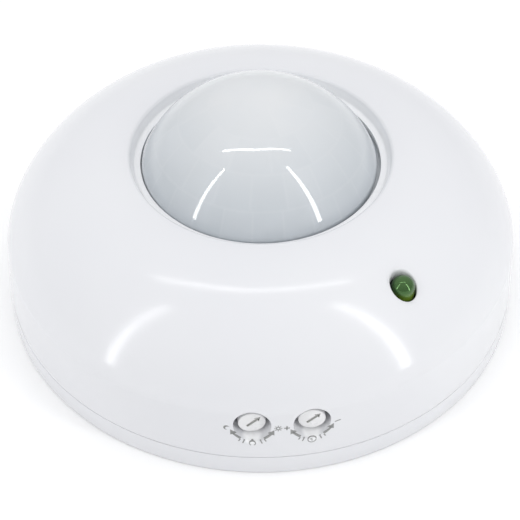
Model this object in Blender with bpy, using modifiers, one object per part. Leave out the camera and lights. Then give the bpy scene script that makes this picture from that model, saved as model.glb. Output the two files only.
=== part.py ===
"""Ceiling motion sensor: a round base that is screwed to the ceiling and a domed head that twists off it.

Frame: metres, +Z out of the room-facing lens, the ceiling face at Z = 0, the two trimmer knobs on the -Y side.
Run with: blender --background --python part.py
"""

import math

import bmesh
import bpy
from mathutils import Euler, Vector
from mathutils.geometry import interpolate_bezier

MM = 0.001

# Driving dimensions
BODY_RADIUS = 57.5 * MM
PARTING_HEIGHT = 5.2 * MM
WALL_TOP = Vector((56.67, 0, 17.3)) * MM
RIM_RADIUS = 28.4 * MM
RIM_HEIGHT = 38.0 * MM
WALL = 2.0 * MM
GAP = 0.3 * MM
ROUND_STEPS = 48

# The crown is one Bezier from the drafted wall to the rim round the lens
WALL_HANDLE = Vector((-0.02, 0, 3.0)) * MM
CROWN_HANDLE = Vector((19.9, 0, -0.93)) * MM
CROWN_POINTS = 9

# Recess, ledge and rib that hold the lens
LEDGE_FOOT_RADIUS = 27.45 * MM
LEDGE_HEIGHT = 35.8 * MM
LEDGE_THICKNESS = 1.2 * MM
OPENING_RADIUS = 25.85 * MM
RIB_INNER_RADIUS = 30.6 * MM
RIB_OUTER_RADIUS = 31.9 * MM
RIB_BOTTOM = 33.4 * MM

# Lens dome, part of a sphere round the detector
LENS_SPHERE_RADIUS = 27.82 * MM
LENS_CENTRE_HEIGHT = 24.84 * MM
LENS_NECK_RADIUS = 25.5 * MM
LENS_THICKNESS = 0.8 * MM
FLANGE_RADIUS = 30.2 * MM
FLANGE_TOP = LEDGE_HEIGHT - LEDGE_THICKNESS - GAP
FLANGE_BOTTOM = FLANGE_TOP - 1.0 * MM
DOME_STEPS = 32

# Ring and screws that clamp the lens
RETAINER_TOP = FLANGE_BOTTOM - GAP
RETAINER_BOTTOM = RETAINER_TOP - 1.2 * MM
LENS_SCREW_RADIUS = 36.0 * MM
LENS_SCREW_ANGLES = (30, 150, 270)

# Base plate
FLOOR = 1.8 * MM
CABLE_HOLE_RADIUS = 10.0 * MM
SLOT_SPACING = 66.0 * MM
SLOT_WIDTH = 5.0 * MM
SLOT_LENGTH = 13.0 * MM
SPIGOT_RADIUS = 54.9 * MM
SPIGOT_TOP = 5.7 * MM

# Bayonet: base hooks over head lugs, freed by a 14 degree turn
BAYONET_ANGLES = (90, 210, 330)
HOOK_FROM, HOOK_TO, STOP_TO = -8.0, 6.0, -6.5
# Not a divisor of the base's steps, so that no hook edge falls on an edge of the floor
HOOK_STEPS = 42
LUG_FROM, LUG_TO = -6.1, 4.0

# Board and the long screws that hold it
BOARD_RADIUS = 49.0 * MM
BOARD_BOTTOM = 19.5 * MM
BOARD_TOP = 21.1 * MM
UNDER_BOARD = BOARD_BOTTOM - GAP
OVER_BOARD = BOARD_TOP + GAP
POST_RADIUS = 41.0 * MM
POST_ANGLES = (90, 215, 325)
REAR_BOTTOM = 4.2 * MM
REAR_TOP = 5.6 * MM
REAR_RADIUS = 50.4 * MM
CASE_HEAD_BOTTOM = 4.8 * MM

# Terminal bay, the well in the rear cover that the mains cable comes up into
BAY_X, BAY_Y, BAY_CENTRE_Y = 33.0 * MM, 27.0 * MM, 2.0 * MM
BAY_WALL = 1.4 * MM
TERMINAL_PITCH = 9.6 * MM
TERMINAL_SIZE = Vector((30.0, 11.0, 12.0)) * MM
TERMINAL_Y = 9.5 * MM

# Trimmers and their knobs, side by side in wells through the wall
KNOB_X = 6.05 * MM
KNOB_Z = 14.6 * MM
KNOB_FACE_Y = -55.55 * MM
KNOB_RADIUS = 2.8 * MM
KNOB_LENGTH = 3.0 * MM
WELL_RADIUS = 3.8 * MM
TRIMMER_FRONT_Y = -51.0 * MM
ARROW_ANGLE = 44.0
ARROW_TAIL, ARROW_TIP = -1.4 * MM, 2.35 * MM

# Indicator
LED_RADIUS = 2.45 * MM
LED_HOLE_RADIUS = 2.8 * MM
LED_DISTANCE = 44.9 * MM
LED_ANGLE = -54.56
LED_DOME_HEIGHT = 31.65 * MM


def clear_scene():
    for old in list(bpy.data.objects):
        bpy.data.objects.remove(old)


def new_collection(name):
    made = bpy.data.collections.new(name)
    bpy.context.scene.collection.children.link(made)
    return made


clear_scene()
SENSOR = new_collection("motion_sensor")
TOOLS = new_collection("cutters")


def material(name, colour, roughness, metallic=0.0):
    made = bpy.data.materials.new(name)
    made.use_nodes = True
    shader = made.node_tree.nodes["Principled BSDF"]
    shader.inputs["Base Color"].default_value = (*colour, 1.0)
    shader.inputs["Roughness"].default_value = roughness
    shader.inputs["Metallic"].default_value = metallic
    return made


def pivot(name, location=(0, 0, 0), parent=None):
    made = bpy.data.objects.new(name, None)
    made.location = location
    made.parent = parent
    SENSOR.objects.link(made)
    return made


def polar(radius, degrees, height=0.0):
    """A point at a radius, an angle from +X and a height."""
    angle = math.radians(degrees)
    return Vector((radius * math.cos(angle), radius * math.sin(angle), height))


# Shapes. Each function returns a mesh object at its place in the world.


def keep(obj):
    """Moves a new object out of the scene's own collection into the helpers' one."""
    for holder in list(obj.users_collection):
        holder.objects.unlink(obj)
    TOOLS.objects.link(obj)
    return obj


def turned(profile, steps=ROUND_STEPS, closed=True):
    """A profile of (radius, height) points turned about Z. It runs down its outer side."""
    mesh = bpy.data.meshes.new("profile")
    edges = [(i, i + 1) for i in range(len(profile) - 1)]
    if closed:
        edges.append((len(profile) - 1, 0))
    mesh.from_pydata([(r, 0, z) for r, z in profile], edges, [])
    obj = bpy.data.objects.new("turned", mesh)
    TOOLS.objects.link(obj)
    screw = obj.modifiers.new("turn", "SCREW")
    screw.steps = screw.render_steps = steps
    screw.use_merge_vertices = True
    screw.merge_threshold = 0.00001
    return obj


def block(size, centre, bevel=0.0, turn=0.0, segments=1):
    bpy.ops.mesh.primitive_cube_add(size=1, location=centre, rotation=(0, 0, math.radians(turn)))
    obj = keep(bpy.context.object)
    obj.scale = size
    bpy.ops.object.transform_apply(location=False, rotation=False, scale=True)
    if bevel:
        edge = obj.modifiers.new("edges", "BEVEL")
        edge.width = bevel
        edge.segments = segments
    return obj


def rod(radius, start, end, sides=16, bevel=0.0):
    """A cylinder between two points."""
    start, end = Vector(start), Vector(end)
    bpy.ops.mesh.primitive_cylinder_add(
        vertices=sides, radius=radius, depth=(end - start).length, location=(start + end) / 2
    )
    obj = keep(bpy.context.object)
    obj.rotation_mode = "QUATERNION"
    obj.rotation_quaternion = (end - start).to_track_quat("Z", "Y")
    if bevel:
        edge = obj.modifiers.new("edges", "BEVEL")
        edge.width = bevel
        edge.segments = 2
        edge.limit_method = "ANGLE"
    return obj


def plate(outline, bottom, top):
    """A flat outline of (x, y) points between two heights."""
    curve = bpy.data.curves.new("outline", "CURVE")
    curve.dimensions = "2D"
    curve.fill_mode = "BOTH"
    curve.extrude = (top - bottom) / 2
    spline = curve.splines.new("POLY")
    spline.points.add(len(outline) - 1)
    for point, (x, y) in zip(spline.points, outline):
        point.co = (x, y, 0, 1)
    spline.use_cyclic_u = True
    flat = bpy.data.objects.new("outline", curve)
    flat.location.z = (top + bottom) / 2
    TOOLS.objects.link(flat)
    return as_mesh(flat)


def as_mesh(obj):
    """The object as a welded mesh, with its modifiers applied."""
    bpy.context.view_layer.update()
    graph = bpy.context.evaluated_depsgraph_get()
    mesh = bpy.data.meshes.new_from_object(obj.evaluated_get(graph))
    work = bmesh.new()
    work.from_mesh(mesh)
    bmesh.ops.remove_doubles(work, verts=work.verts, dist=0.000001)
    bmesh.ops.recalc_face_normals(work, faces=work.faces)
    work.to_mesh(mesh)
    work.free()
    made = bpy.data.objects.new("mesh", mesh)
    made.matrix_world = obj.matrix_world.copy()
    TOOLS.objects.link(made)
    bpy.data.objects.remove(obj)
    return made


def arc_block(inner, outer, start, end, bottom, top, points=7):
    """Part of a flat ring between two angles in degrees."""
    angles = [start + (end - start) * i / (points - 1) for i in range(points)]
    far = [polar(outer, a).xy for a in angles]
    near = [polar(inner, a).xy for a in reversed(angles)]
    return plate(far + near, bottom, top)


def combine(obj, operation, *tools):
    """Cuts the tools out of the object, or joins them to it."""
    for tool in tools:
        change = obj.modifiers.new(operation.lower(), "BOOLEAN")
        change.operation = operation
        change.solver = "EXACT"
        change.object = tool
        tool.hide_render = True
        tool.display_type = "WIRE"
    return obj


def join(obj, *tools):
    return combine(obj, "UNION", *tools)


def cut(obj, *tools):
    return combine(obj, "DIFFERENCE", *tools)


def node(name, obj, finish, parent, sharp=35):
    """Makes the finished shape one named sub-part, with its material, under its pivot."""
    bpy.context.view_layer.update()
    graph = bpy.context.evaluated_depsgraph_get()
    mesh = bpy.data.meshes.new_from_object(obj.evaluated_get(graph))
    mesh.name = name
    mesh.materials.clear()
    mesh.materials.append(finish)
    mesh.shade_smooth()
    mesh.set_sharp_from_angle(angle=math.radians(sharp))
    obj.modifiers.clear()
    obj.data = mesh
    TOOLS.objects.unlink(obj)
    SENSOR.objects.link(obj)
    obj.name = name
    obj.parent = parent
    obj.matrix_parent_inverse = parent.matrix_world.inverted()
    return obj


# Profiles


def arc_points(radius, centre_height, start, end, count):
    """Points (r, z) on a circle about the Z axis's point, from one angle above the horizon to another."""
    angles = [math.radians(start + (end - start) * i / (count - 1)) for i in range(count)]
    return [(radius * math.cos(a), centre_height + radius * math.sin(a)) for a in angles]


def crown():
    """The outer curve from the rim round the lens down to the top of the drafted wall."""
    rim = Vector((RIM_RADIUS, 0, RIM_HEIGHT))
    points = interpolate_bezier(
        rim, rim + CROWN_HANDLE, WALL_TOP + WALL_HANDLE, WALL_TOP, CROWN_POINTS
    )
    return [Vector((p.x, p.z)) for p in points]


def inside_of(points, thickness):
    """The curve moved inwards by a wall's thickness."""
    moved = []
    for i, point in enumerate(points):
        before, after = points[max(i - 1, 0)], points[min(i + 1, len(points) - 1)]
        along = (after - before).normalized()
        moved.append(point + Vector((along.y, -along.x)) * thickness)
    return moved


def dome_profile(radius, neck, bottom, count):
    """A dome from the pole down to its neck, and on down to a height."""
    neck_angle = math.degrees(math.acos(neck / radius))
    arc = arc_points(radius, LENS_CENTRE_HEIGHT, 90, neck_angle, count)
    arc[0] = (0.0, arc[0][1])
    return arc + [(neck, bottom)]


# Housing


def wedge(start, end, bottom, top):
    """A sector of a disc, wide enough to cut a piece out of any ring in the base."""
    return arc_block(45 * MM, 60 * MM, start, end, bottom, top, 3)


def hooks():
    """Three posts with a lip that turns outwards over a lug, and a stop at one end of each."""
    profile = [
        (51.2 * MM, 9.4 * MM),
        (54.7 * MM, 9.4 * MM),
        (54.7 * MM, 7.95 * MM),
        (52.8 * MM, 7.95 * MM),
        (52.8 * MM, FLOOR - 0.5 * MM),
        (51.2 * MM, FLOOR - 0.5 * MM),
    ]
    made = []
    for angle in BAYONET_ANGLES:
        hook = turned(profile, HOOK_STEPS)
        sector = wedge(angle + HOOK_FROM, angle + HOOK_TO, 0, 12 * MM)
        combine(hook, "INTERSECT", sector)
        stop = arc_block(
            52.0 * MM, 54.4 * MM, angle + HOOK_FROM + 0.3, angle + STOP_TO, 5.2 * MM, 8.6 * MM, 3
        )
        made.append(join(hook, stop))
    return made


def make_base(finish, parent):
    ring = [
        (SPIGOT_RADIUS - 1.3 * MM, SPIGOT_TOP),
        (SPIGOT_RADIUS, SPIGOT_TOP),
        (SPIGOT_RADIUS, PARTING_HEIGHT - GAP / 2),
        (BODY_RADIUS, PARTING_HEIGHT - GAP / 2),
        (BODY_RADIUS, 0.5 * MM),
        (BODY_RADIUS - 0.5 * MM, 0),
        (CABLE_HOLE_RADIUS, 0),
        (CABLE_HOLE_RADIUS, FLOOR + 1.2 * MM),
        (CABLE_HOLE_RADIUS + 1.4 * MM, FLOOR + 1.2 * MM),
        (CABLE_HOLE_RADIUS + 1.4 * MM, FLOOR),
        (SPIGOT_RADIUS - 1.3 * MM, FLOOR),
    ]
    base = turned(ring)
    for side in (-1, 1):
        x = side * SLOT_SPACING / 2
        straight = SLOT_LENGTH - SLOT_WIDTH
        slot = block((SLOT_WIDTH, straight, 4 * FLOOR), (x, 0, FLOOR / 2))
        ends = [
            rod(SLOT_WIDTH / 2, (x, end, -2 * FLOOR), (x, end, 3 * FLOOR), 12)
            for end in (-straight / 2, straight / 2)
        ]
        cut(base, slot, *ends)
    join(base, *hooks())
    return node("base_plate", base, finish, parent)


def bosses(outer):
    """Screw posts, lens bosses and knob collars, trimmed to end inside the cover's wall."""
    middle = [tuple(p) for p in inside_of(outer, WALL / 2)]
    top, bottom = middle[0][1], PARTING_HEIGHT + 2 * MM
    profile = [(0, top), *middle, (BODY_RADIUS - WALL * 0.75, bottom), (0, bottom)]
    made = []
    for angle in POST_ANGLES:
        made.append(rod(2.9 * MM, polar(POST_RADIUS, angle, OVER_BOARD), polar(POST_RADIUS, angle, RIM_HEIGHT)))
    for angle in LENS_SCREW_ANGLES:
        foot = polar(LENS_SCREW_RADIUS, angle, RETAINER_TOP + GAP)
        made.append(rod(2.6 * MM, foot, polar(LENS_SCREW_RADIUS, angle, RIM_HEIGHT), 12))
    for x in (-KNOB_X, KNOB_X):
        collar = rod(WELL_RADIUS + MM, (x, -51.8 * MM, KNOB_Z), (x, -58 * MM, KNOB_Z), 20)
        made.append(collar)
    return [combine(boss, "INTERSECT", turned(profile, closed=False)) for boss in made]


def make_cover(finish, parent):
    outer = crown()
    inner = [p for p in inside_of(outer, WALL) if p.x > RIB_OUTER_RADIUS + 0.5 * MM]
    ledge_bottom = LEDGE_HEIGHT - LEDGE_THICKNESS
    profile = [
        (OPENING_RADIUS, LEDGE_HEIGHT),
        (LEDGE_FOOT_RADIUS, LEDGE_HEIGHT),
        (RIM_RADIUS - 0.12 * MM, RIM_HEIGHT - 0.35 * MM),
        (RIM_RADIUS + 0.3 * MM, RIM_HEIGHT - 0.01 * MM),
        *[tuple(p) for p in outer[1:]],
        (BODY_RADIUS, PARTING_HEIGHT + GAP / 2),
        (BODY_RADIUS - WALL, PARTING_HEIGHT + GAP / 2),
        *[tuple(p) for p in reversed(inner)],
        (RIB_OUTER_RADIUS, inner[0].y + 0.1 * MM),
        (RIB_OUTER_RADIUS, RIB_BOTTOM),
        (RIB_INNER_RADIUS, RIB_BOTTOM),
        (RIB_INNER_RADIUS, ledge_bottom),
        (OPENING_RADIUS, ledge_bottom),
    ]
    cover = join(turned(profile), *bosses(outer))
    for angle in BAYONET_ANGLES:
        lug = arc_block(
            53.2 * MM, 56.3 * MM, angle + LUG_FROM, angle + LUG_TO, 6.1 * MM, 7.6 * MM, 4
        )
        join(cover, lug)
    for angle in POST_ANGLES:
        bottom, end = polar(POST_RADIUS, angle, BOARD_TOP), polar(POST_RADIUS, angle, 30.0 * MM)
        cut(cover, rod(1.4 * MM, bottom, end, 10))
    for angle in LENS_SCREW_ANGLES:
        bottom = polar(LENS_SCREW_RADIUS, angle, RETAINER_TOP - MM)
        cut(cover, rod(1.15 * MM, bottom, polar(LENS_SCREW_RADIUS, angle, 35.6 * MM), 8))
    for x in (-KNOB_X, KNOB_X):
        cut(cover, rod(WELL_RADIUS, (x, -50 * MM, KNOB_Z), (x, -60 * MM, KNOB_Z), 20))
    led = polar(LED_DISTANCE, LED_ANGLE)
    low, high = led + Vector((0, 0, 25 * MM)), led + Vector((0, 0, 40 * MM))
    cut(cover, rod(LED_HOLE_RADIUS, low, high, 20))
    return node("front_cover", cover, finish, parent)


def make_rear_cover(finish, parent):
    rear = turned(
        [(0, REAR_TOP), (REAR_RADIUS, REAR_TOP), (REAR_RADIUS, REAR_BOTTOM), (0, REAR_BOTTOM)],
        closed=False,
    )
    well_top = UNDER_BOARD - GAP
    outer_x, outer_y = BAY_X + 2 * BAY_WALL, BAY_Y + 2 * BAY_WALL
    well_low = REAR_BOTTOM + 0.5 * MM
    middle = Vector((0, BAY_CENTRE_Y, (well_top + well_low) / 2))
    join(rear, block((outer_x, outer_y, well_top - well_low), middle))
    for angle in POST_ANGLES:
        low, high = polar(POST_RADIUS, angle, 5.0 * MM), polar(POST_RADIUS, angle, UNDER_BOARD)
        join(rear, rod(4.0 * MM, low, high, 12))
    cut(rear, block((BAY_X, BAY_Y, 24 * MM), (0, BAY_CENTRE_Y, 12 * MM)))
    for angle in POST_ANGLES:
        seat = polar(POST_RADIUS, angle, CASE_HEAD_BOTTOM + 2.2 * MM)
        cut(rear, rod(2.9 * MM, polar(POST_RADIUS, angle, 3 * MM), seat, 12))
        through = polar(POST_RADIUS, angle, 4 * MM), polar(POST_RADIUS, angle, 22 * MM)
        cut(rear, rod(1.6 * MM, *through, 10))
    return node("rear_cover", rear, finish, parent)


# Lens


def make_lens(finish, parent):
    outer = dome_profile(LENS_SPHERE_RADIUS, LENS_NECK_RADIUS, FLANGE_TOP, 8)
    inner = dome_profile(
        LENS_SPHERE_RADIUS - LENS_THICKNESS, LENS_NECK_RADIUS - LENS_THICKNESS, FLANGE_BOTTOM, 6
    )
    profile = outer + [(FLANGE_RADIUS, FLANGE_TOP), (FLANGE_RADIUS, FLANGE_BOTTOM)]
    lens = turned(profile + list(reversed(inner)), DOME_STEPS, closed=False)
    return node("fresnel_lens", lens, finish, parent)


def make_retainer(finish, parent):
    inner = LENS_NECK_RADIUS - LENS_THICKNESS
    ring = turned(
        [
            (inner, RETAINER_TOP),
            (FLANGE_RADIUS, RETAINER_TOP),
            (FLANGE_RADIUS, RETAINER_BOTTOM),
            (inner, RETAINER_BOTTOM),
        ],
        DOME_STEPS,
    )
    # The ears are a hair thinner than the ring, so that no two joined faces share a plane
    top, bottom = RETAINER_TOP - 0.05 * MM, RETAINER_BOTTOM + 0.05 * MM
    for angle in LENS_SCREW_ANGLES:
        arm = block(
            (8 * MM, 6 * MM, top - bottom), polar(32.2 * MM, angle, (top + bottom) / 2), turn=angle
        )
        end = rod(
            3.2 * MM,
            polar(LENS_SCREW_RADIUS, angle, bottom - 0.02 * MM),
            polar(LENS_SCREW_RADIUS, angle, top + 0.02 * MM),
            12,
        )
        hole = rod(
            1.2 * MM,
            polar(LENS_SCREW_RADIUS, angle, bottom - MM),
            polar(LENS_SCREW_RADIUS, angle, top + MM),
            8,
        )
        cut(join(ring, arm, end), hole)
    return node("lens_retainer", ring, finish, parent)


def make_screw(name, foot, head_radius, head_height, shank_radius, length, finish, parent):
    """A pan-head screw that points up, with a slot in its head. Foot is the head's lowest point."""
    profile = [
        (0, head_height + length),
        (shank_radius, head_height + length - 1.2 * shank_radius),
        (shank_radius, head_height),
        (head_radius, head_height),
        (head_radius * 0.85, 0),
        (0, 0),
    ]
    screw = turned(profile, 10, closed=False)
    screw.location = foot
    cut(screw, block((head_radius * 3, head_radius * 0.28, head_height * 0.9), foot))
    return node(name, screw, finish, parent)


def make_fasteners(finish, parent):
    for number, angle in enumerate(LENS_SCREW_ANGLES, 1):
        height = 1.3 * MM
        foot = polar(LENS_SCREW_RADIUS, angle, RETAINER_BOTTOM - GAP - height)
        make_screw(f"lens_screw_{number}", foot, 2.0 * MM, height, 0.8 * MM, 3.7 * MM, finish, parent)
    for number, angle in enumerate(POST_ANGLES, 1):
        foot = polar(POST_RADIUS, angle, CASE_HEAD_BOTTOM)
        make_screw(f"case_screw_{number}", foot, 2.5 * MM, 1.9 * MM, 1.05 * MM, 22 * MM, finish, parent)


# Electronics on the room side of the board


def make_board(finish, parent):
    board = turned(
        [(0, BOARD_TOP), (BOARD_RADIUS, BOARD_TOP), (BOARD_RADIUS, BOARD_BOTTOM), (0, BOARD_BOTTOM)],
        ROUND_STEPS,
        closed=False,
    )
    for angle in POST_ANGLES:
        low, high = polar(POST_RADIUS, angle, 18 * MM), polar(POST_RADIUS, angle, 23 * MM)
        cut(board, rod(1.7 * MM, low, high, 16))
    return node("main_board", board, finish, parent)


def make_detector(metal, dark, white, parent):
    holder = turned(
        [
            (3.0 * MM, 23.4 * MM),
            (4.8 * MM, 23.4 * MM),
            (5.6 * MM, 22.2 * MM),
            (5.6 * MM, OVER_BOARD),
            (3.0 * MM, OVER_BOARD),
        ],
        16,
    )
    node("detector_holder", holder, white, parent)
    can = turned(
        [
            (0, 28.1 * MM),
            (4.1 * MM, 28.1 * MM),
            (4.1 * MM, 24.4 * MM),
            (4.6 * MM, 24.4 * MM),
            (4.6 * MM, 23.8 * MM),
            (0, 23.8 * MM),
        ],
        16,
        closed=False,
    )
    for angle in (30, 150, 270):
        join(can, rod(0.25 * MM, polar(2.0 * MM, angle, OVER_BOARD), polar(2.0 * MM, angle, 24 * MM), 6))
    cut(can, block((5.0 * MM, 4.0 * MM, 1.4 * MM), (0, 0, 28.1 * MM)))
    node("pyroelectric_detector", can, metal, parent)
    node("detector_window", block((4.4 * MM, 3.4 * MM, 0.4 * MM), (0, 0, 27.95 * MM)), dark, parent)


def make_light_cell(finish, parent):
    centre = Vector((0, -15 * MM, 0))
    body = rod(2.55 * MM, centre + Vector((0, 0, 24.6 * MM)), centre + Vector((0, 0, 26.7 * MM)))
    for x in (-1.3 * MM, 1.3 * MM):
        leg = centre + Vector((x, 0, 0))
        join(body, rod(0.25 * MM, leg + Vector((0, 0, OVER_BOARD)), leg + Vector((0, 0, 25 * MM)), 6))
    return node("light_cell", body, finish, parent)


def make_indicator(green, white, parent):
    place = polar(LED_DISTANCE, LED_ANGLE)
    dome = arc_points(LED_RADIUS, LED_DOME_HEIGHT, 90, 0, 5)
    dome[0] = (0, dome[0][1])
    flange = 25.3 * MM
    led = turned(
        dome
        + [
            (LED_RADIUS, flange + MM),
            (2.9 * MM, flange + MM),
            (2.9 * MM, flange),
            (0, flange),
        ],
        16,
        closed=False,
    )
    led.location = place
    for x in (-1.27 * MM, 1.27 * MM):
        leg = place + Vector((x, 0, 0))
        join(led, rod(0.25 * MM, leg + Vector((0, 0, OVER_BOARD)), leg + Vector((0, 0, flange + 0.4 * MM)), 6))
    node("indicator_led", led, green, parent)
    top = flange - GAP
    spacer = turned(
        [(1.9 * MM, top), (2.9 * MM, top), (2.9 * MM, OVER_BOARD), (1.9 * MM, OVER_BOARD)], 16
    )
    spacer.location = place
    node("led_spacer", spacer, white, parent)


# Electronics on the ceiling side of the board


def legs(obj, points, radius=0.35 * MM, top=UNDER_BOARD, depth=1.0 * MM):
    """Joins straight wire legs to a body, from inside it up to the board. Points are (x, y, body top)."""
    for x, y, height in points:
        join(obj, rod(radius, (x, y, height - depth), (x, y, top), 6))
    return obj


def make_canned(name, centre, radius, height, finish, parent):
    """A standing electrolytic capacitor: rolled groove near its rubber end, which faces the board."""
    x, y = centre
    top = UNDER_BOARD - 0.8 * MM
    bottom = top - height
    profile = [
        (0, top),
        (radius, top),
        (radius, top - 1.5 * MM),
        (radius - 0.35 * MM, top - 2.0 * MM),
        (radius, top - 2.5 * MM),
        (radius, bottom),
        (0, bottom),
    ]
    can = turned(profile, 16, closed=False)
    can.location = (x, y, 0)
    spread = radius * 0.45
    legs(can, [(x - spread, y, top), (x + spread, y, top)])
    return node(name, can, finish, parent)


def make_axial(name, centre, radius, length, turn, finish, parent):
    """A lying axial part: a body with a wire out of each end, bent up to the board."""
    x, y, z = centre
    along = polar(1, turn)
    middle = Vector(centre)
    body = rod(radius, middle - along * length / 2, middle + along * length / 2, 12)
    reach = length / 2 + 1.6 * MM
    wire = 0.35 * MM
    # Both wires are one rod through the body, so no cap lies inside another
    join(body, rod(wire, middle - along * reach, middle + along * reach, 6))
    for side in (-1, 1):
        end = middle + along * side * (reach - wire)
        join(body, rod(wire * 0.95, end - Vector((0, 0, wire * 0.5)), (end.x, end.y, UNDER_BOARD), 6))
    return node(name, body, finish, parent)


def make_relay(finish, parent):
    size = Vector((10.1, 17.8, 12.3)) * MM
    x, y = 29 * MM, 2 * MM
    top = UNDER_BOARD - 0.3 * MM
    body = block(size, (x, y, top - size.z / 2), bevel=0.5 * MM)
    pins = [(x + dx * MM, y + dy * MM, top) for dx, dy in ((-3.5, -7), (3.5, -7), (0, 3), (0, 7))]
    return node("relay", legs(body, pins), finish, parent)


def make_film_capacitor(finish, parent):
    size = Vector((8.5, 18.0, 12.6)) * MM
    x, y = -29 * MM, 4 * MM
    top = UNDER_BOARD - 0.3 * MM
    body = block(size, (x, y, top - size.z / 2), bevel=0.4 * MM)
    return node("dropper_capacitor", legs(body, [(x, y - 7.5 * MM, top), (x, y + 7.5 * MM, top)]), finish, parent)


def make_varistor(finish, parent):
    x, y, z = 22 * MM, 28 * MM, 13.2 * MM
    body = rod(4.5 * MM, (x, y - 2 * MM, z), (x, y + 2 * MM, z))
    legs(body, [(x - 2.5 * MM, y, z + 3.4 * MM), (x + 2.5 * MM, y, z + 3.4 * MM)])
    return node("surge_varistor", body, finish, parent)


def make_chip(finish, parent):
    """The sixteen-leg amplifier and timer chip."""
    y, top = -36 * MM, UNDER_BOARD - 0.6 * MM
    body = block((19.2 * MM, 6.2 * MM, 3.0 * MM), (0, y, top - 1.5 * MM))
    for row in (-1, 1):
        for column in range(8):
            x = (column - 3.5) * 2.4 * MM
            foot_y = y + row * 3.6 * MM
            shoulder = block((0.9 * MM, 1.4 * MM, 0.3 * MM), (x, foot_y - row * 0.5 * MM, top - 1.4 * MM))
            leg = block((0.5 * MM, 0.28 * MM, 1.9 * MM), (x, foot_y, UNDER_BOARD - 0.95 * MM - 0.05 * MM))
            join(body, shoulder, leg)
    return node("timer_chip", body, finish, parent)


def make_small_transistor(name, centre, finish, parent):
    """A TO-92 body: a cylinder with one flat side and three legs."""
    x, y = centre
    top = UNDER_BOARD - 1.5 * MM
    round_side = [polar(2.4 * MM, a).xy + Vector((x, y)) for a in range(-40, 221, 20)]
    body = plate(round_side, top - 4.8 * MM, top)
    legs(body, [(x + dx * MM, y, top) for dx in (-1.27, 0, 1.27)], radius=0.22 * MM)
    return node(name, body, finish, parent)


def make_terminal_block(housing, metal, brass, parent):
    top = UNDER_BOARD
    bottom = top - TERMINAL_SIZE.z
    body = block(TERMINAL_SIZE, (0, TERMINAL_Y, (top + bottom) / 2), bevel=0.35 * MM)
    front = TERMINAL_Y - TERMINAL_SIZE.y / 2
    wire_height = bottom + 5.2 * MM
    for number in range(3):
        x = (number - 1) * TERMINAL_PITCH
        mouth = Vector((x, front + 4.0 * MM, wire_height))
        cut(body, block((5.6 * MM, 8.4 * MM, 4.8 * MM), mouth))
        centre = Vector((x, front + 5.0 * MM, 0))
        low = centre + Vector((0, 0, bottom - MM))
        cut(body, rod(2.4 * MM, low, centre + Vector((0, 0, bottom + 4 * MM)), 12))
        clamp_place = (x, front + 4.7 * MM, wire_height + 0.25 * MM)
        clamp = block((4.9 * MM, 6.2 * MM, 3.6 * MM), clamp_place)
        bore = wire_height + 0.5 * MM
        cut(clamp, rod(1.35 * MM, (x, front - MM, bore), (x, front + 11 * MM, bore), 12))
        node(f"terminal_clamp_{number + 1}", clamp, brass, parent)
        foot = centre + Vector((0, 0, bottom + 0.5 * MM))
        screw = rod(2.0 * MM, foot, foot + Vector((0, 0, 1.9 * MM)), 12)
        cut(screw, block((5 * MM, 0.6 * MM, 1.2 * MM), foot))
        node(f"terminal_screw_{number + 1}", screw, metal, parent)
    node("terminal_block", body, housing, parent)


# Trimmers and knobs


def make_trimmer(name, x, finish, parent):
    back, front = -46.0 * MM, TRIMMER_FRONT_Y
    top, bottom = UNDER_BOARD, KNOB_Z - 3.9 * MM
    middle = (x, (back + front) / 2, (top + bottom) / 2)
    body = block((7.0 * MM, back - front, top - bottom), middle, bevel=0.4 * MM)
    cut(body, rod(1.9 * MM, (x, front - MM, KNOB_Z), (x, front + 1.2 * MM, KNOB_Z), 12))
    return node(name, body, finish, parent)


def arrow_outline(tail, tip, half_shaft, half_head):
    """A broad-headed arrow along +X from its tail to its tip."""
    neck = tip - 1.5 * half_head
    side = [(tail, half_shaft), (neck, half_shaft), (neck - 0.15 * MM, half_head)]
    return [(tip, 0)] + list(reversed(side)) + [(x, -y) for x, y in side]


def make_knob(name, side, finish, parent):
    """The push-in knob of a trimmer, facing -Y, with the arrow slot that takes a screwdriver."""
    hub = pivot(name + "_pivot", (side * KNOB_X, KNOB_FACE_Y, KNOB_Z), parent)
    bpy.context.view_layer.update()
    edge = 0.25 * MM
    # Turned about its own Z with the face up; then laid over so that the face looks along -Y
    profile = [
        (0, 0),
        (KNOB_RADIUS - edge, 0),
        (KNOB_RADIUS, -edge),
        (KNOB_RADIUS, -KNOB_LENGTH),
        (1.5 * MM, -KNOB_LENGTH),
        (1.5 * MM, -KNOB_LENGTH - 2.2 * MM),
        (0, -KNOB_LENGTH - 2.2 * MM),
    ]
    knob = turned(profile, 20, closed=False)
    arrow = plate(arrow_outline(ARROW_TAIL, ARROW_TIP, 0.3 * MM, 0.7 * MM), -0.5 * MM, 0.5 * MM)
    arrow.rotation_euler = Euler((0, 0, math.radians(ARROW_ANGLE)))
    cut(knob, arrow)
    made = node(name, knob, finish, hub)
    made.matrix_parent_inverse.identity()
    made.rotation_euler = (math.radians(90), 0, 0)
    return made


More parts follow.
